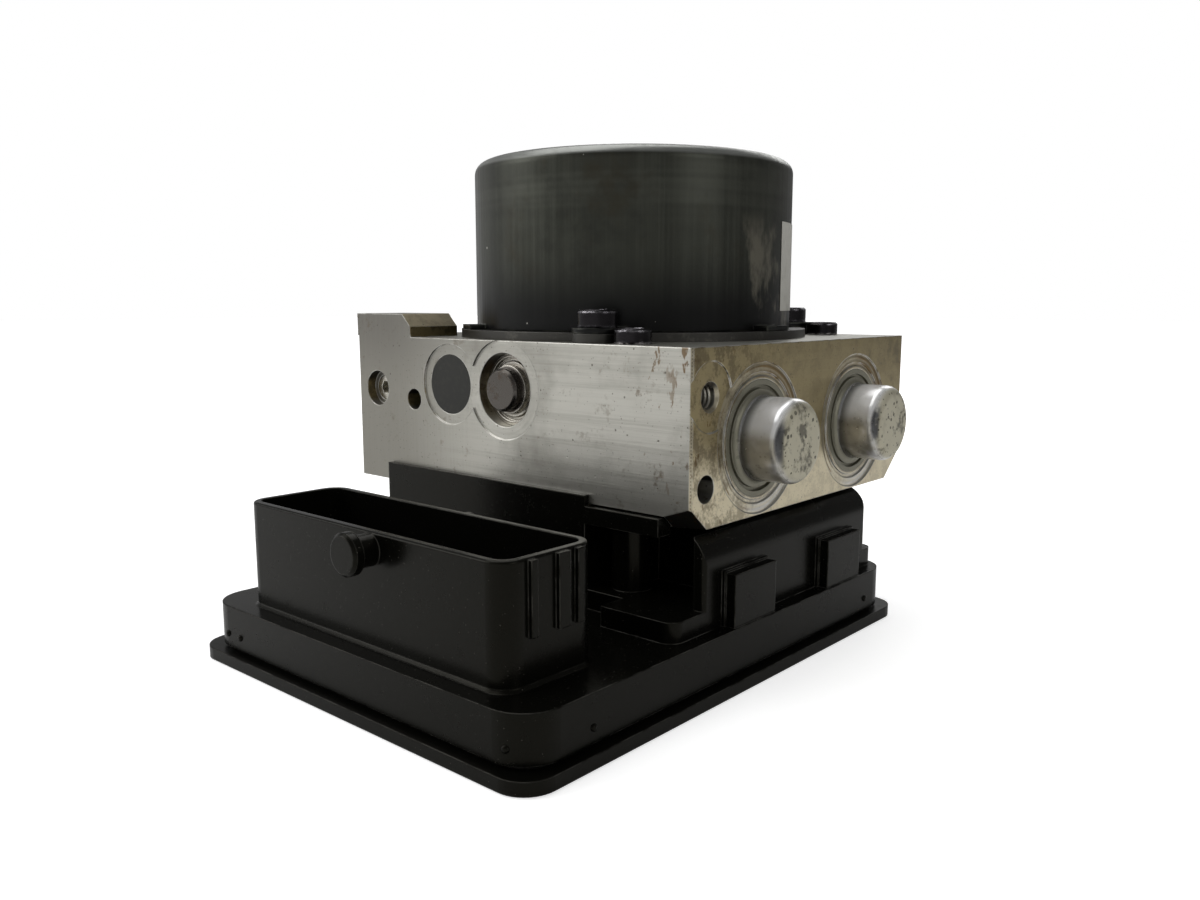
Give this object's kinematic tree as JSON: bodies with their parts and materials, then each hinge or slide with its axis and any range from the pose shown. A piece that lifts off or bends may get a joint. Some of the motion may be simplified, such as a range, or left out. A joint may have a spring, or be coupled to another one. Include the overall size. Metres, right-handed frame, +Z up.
{
  "type": "abs brake module",
  "caption": "Brake pressure control unit: aluminium valve block with a round pump motor on top, spring accumulators at the side and a plastic electronics housing with a plug shroud below.",
  "frame": {"origin": "where the motor's axis meets the flat underside of the electronics cover, which the unit stands on", "axes": "+Z up along the motor's axis, +X out of the face with the two accumulator caps, -Y towards the electrical connector; +Y is along the longest extent"},
  "size_m": [0.118, 0.1471, 0.1145],
  "materials": {
    "block_aluminium": "machined, fine brushed lines, brown stains near the edges",
    "can_steel": "dark grey green passivated steel with fine upright streaks",
    "cap_zinc": "bright zinc plate, slightly yellow on the ends",
    "housing_plastic": "satin black moulded plastic",
    "cover_plastic": "satin black moulded plastic",
    "screw_steel": "dark oiled steel",
    "plug_steel": "bare steel, lightly stained",
    "damper_grey": "dull dark grey coated disc",
    "plate_steel": "dark passivated sheet steel",
    "bearing_steel": "ground bearing steel",
    "shaft_steel": "ground steel",
    "spring_steel": "bare spring steel",
    "valve_steel": "turned stainless steel",
    "yoke_steel": "zinc plated drawn steel",
    "core_iron": "stacked electrical sheet",
    "copper": "bare or enamelled copper",
    "magnet_ferrite": "dull sintered ferrite",
    "brush_carbon": "pressed carbon",
    "holder_plastic": "heat resistant moulded plastic",
    "seal_rubber": "soft black rubber",
    "board_green": "green solder mask",
    "chip_black": "moulded chip body",
    "capacitor_can": "drawn aluminium can",
    "contact_tin": "tinned contact",
    "coil_bobbin": "overmoulded coil",
    "piston_aluminium": "hard coated aluminium"
  },
  "bodies": {
    "unit": {"accumulator_cap_front": "cap_zinc", "accumulator_cap_rear": "cap_zinc", "accumulator_spring_front": "spring_steel", "accumulator_spring_rear": "spring_steel", "bleed_screw": "screw_steel", "board_capacitors": "capacitor_can", "brush_holder": "holder_plastic", "carbon_brushes": "brush_carbon", "circuit_board": "board_green", "coil_yokes": "yoke_steel", "connector_pins": "contact_tin", "damper_plugs": "damper_grey", "ecu_cover": "cover_plastic", "ecu_housing": "housing_plastic", "ecu_screws": "screw_steel", "front_bearing": "bearing_steel", "housing_seal": "seal_rubber", "inlet_coil_1": "coil_bobbin", "inlet_coil_2": "coil_bobbin", "inlet_coil_3": "coil_bobbin", "inlet_coil_4": "coil_bobbin", "inlet_valve_1": "valve_steel", "inlet_valve_2": "valve_steel", "inlet_valve_3": "valve_steel", "inlet_valve_4": "valve_steel", "magnets": "magnet_ferrite", "motor_can": "can_steel", "motor_pins": "contact_tin", "motor_plate": "plate_steel", "motor_screws": "screw_steel", "outlet_coil_1": "coil_bobbin", "outlet_coil_2": "coil_bobbin", "outlet_coil_3": "coil_bobbin", "outlet_coil_4": "coil_bobbin", "outlet_valve_1": "valve_steel", "outlet_valve_2": "valve_steel", "outlet_valve_3": "valve_steel", "outlet_valve_4": "valve_steel", "power_transistors": "chip_black", "processor": "chip_black", "pump_plug_front": "plug_steel", "pump_plug_rear": "plug_steel", "pump_sleeve_front": "yoke_steel", "pump_sleeve_rear": "yoke_steel", "pump_spring_front": "spring_steel", "pump_spring_rear": "spring_steel", "rear_bearing": "bearing_steel", "valve_block": "block_aluminium", "valve_driver": "chip_black"},
    "rotor": {"rotor_shaft": "shaft_steel", "rotor_core": "core_iron", "rotor_winding": "copper", "commutator": "copper"},
    "crank_ring": {"eccentric_bearing": "bearing_steel"},
    "front_plunger": {"pump_piston_front": "shaft_steel"},
    "rear_plunger": {"pump_piston_rear": "shaft_steel"},
    "front_store": {"accumulator_piston_front": "piston_aluminium", "accumulator_seal_front": "seal_rubber"},
    "rear_store": {"accumulator_piston_rear": "piston_aluminium", "accumulator_seal_rear": "seal_rubber"}
  },
  "joints": [
    {"name": "rotor_spin", "type": "hinge", "parent": "unit", "child": "rotor", "pos_m": [0, 0, 0.0581], "axis": [0, 0, 1], "continuous": true},
    {"name": "crank_ring_turn", "type": "hinge", "parent": "rotor", "child": "crank_ring", "pos_m": [0.001, 0, 0.0581], "axis": [0, 0, 1], "continuous": true},
    {"name": "pump_front_stroke", "type": "slide", "parent": "unit", "child": "front_plunger", "axis": [0, -1, 0], "range_m": [0, 0.002], "stiffness_N_per_m": 2000, "springref_m": -0.003, "deforming": ["pump_spring_front"]},
    {"name": "pump_rear_stroke", "type": "slide", "parent": "unit", "child": "rear_plunger", "axis": [0, 1, 0], "range_m": [0, 0.002], "stiffness_N_per_m": 2000, "springref_m": -0.003, "deforming": ["pump_spring_rear"]},
    {"name": "accumulator_front_stroke", "type": "slide", "parent": "unit", "child": "front_store", "axis": [1, 0, 0], "range_m": [0, 0.008], "stiffness_N_per_m": 2000, "springref_m": -0.004, "deforming": ["accumulator_spring_front"]},
    {"name": "accumulator_rear_stroke", "type": "slide", "parent": "unit", "child": "rear_store", "axis": [1, 0, 0], "range_m": [0, 0.008], "stiffness_N_per_m": 2000, "springref_m": -0.004, "deforming": ["accumulator_spring_rear"]}
  ],
  "couplings": [
    {"joint": "crank_ring_turn", "follows": "rotor_spin", "ratio": -1}
  ]
}
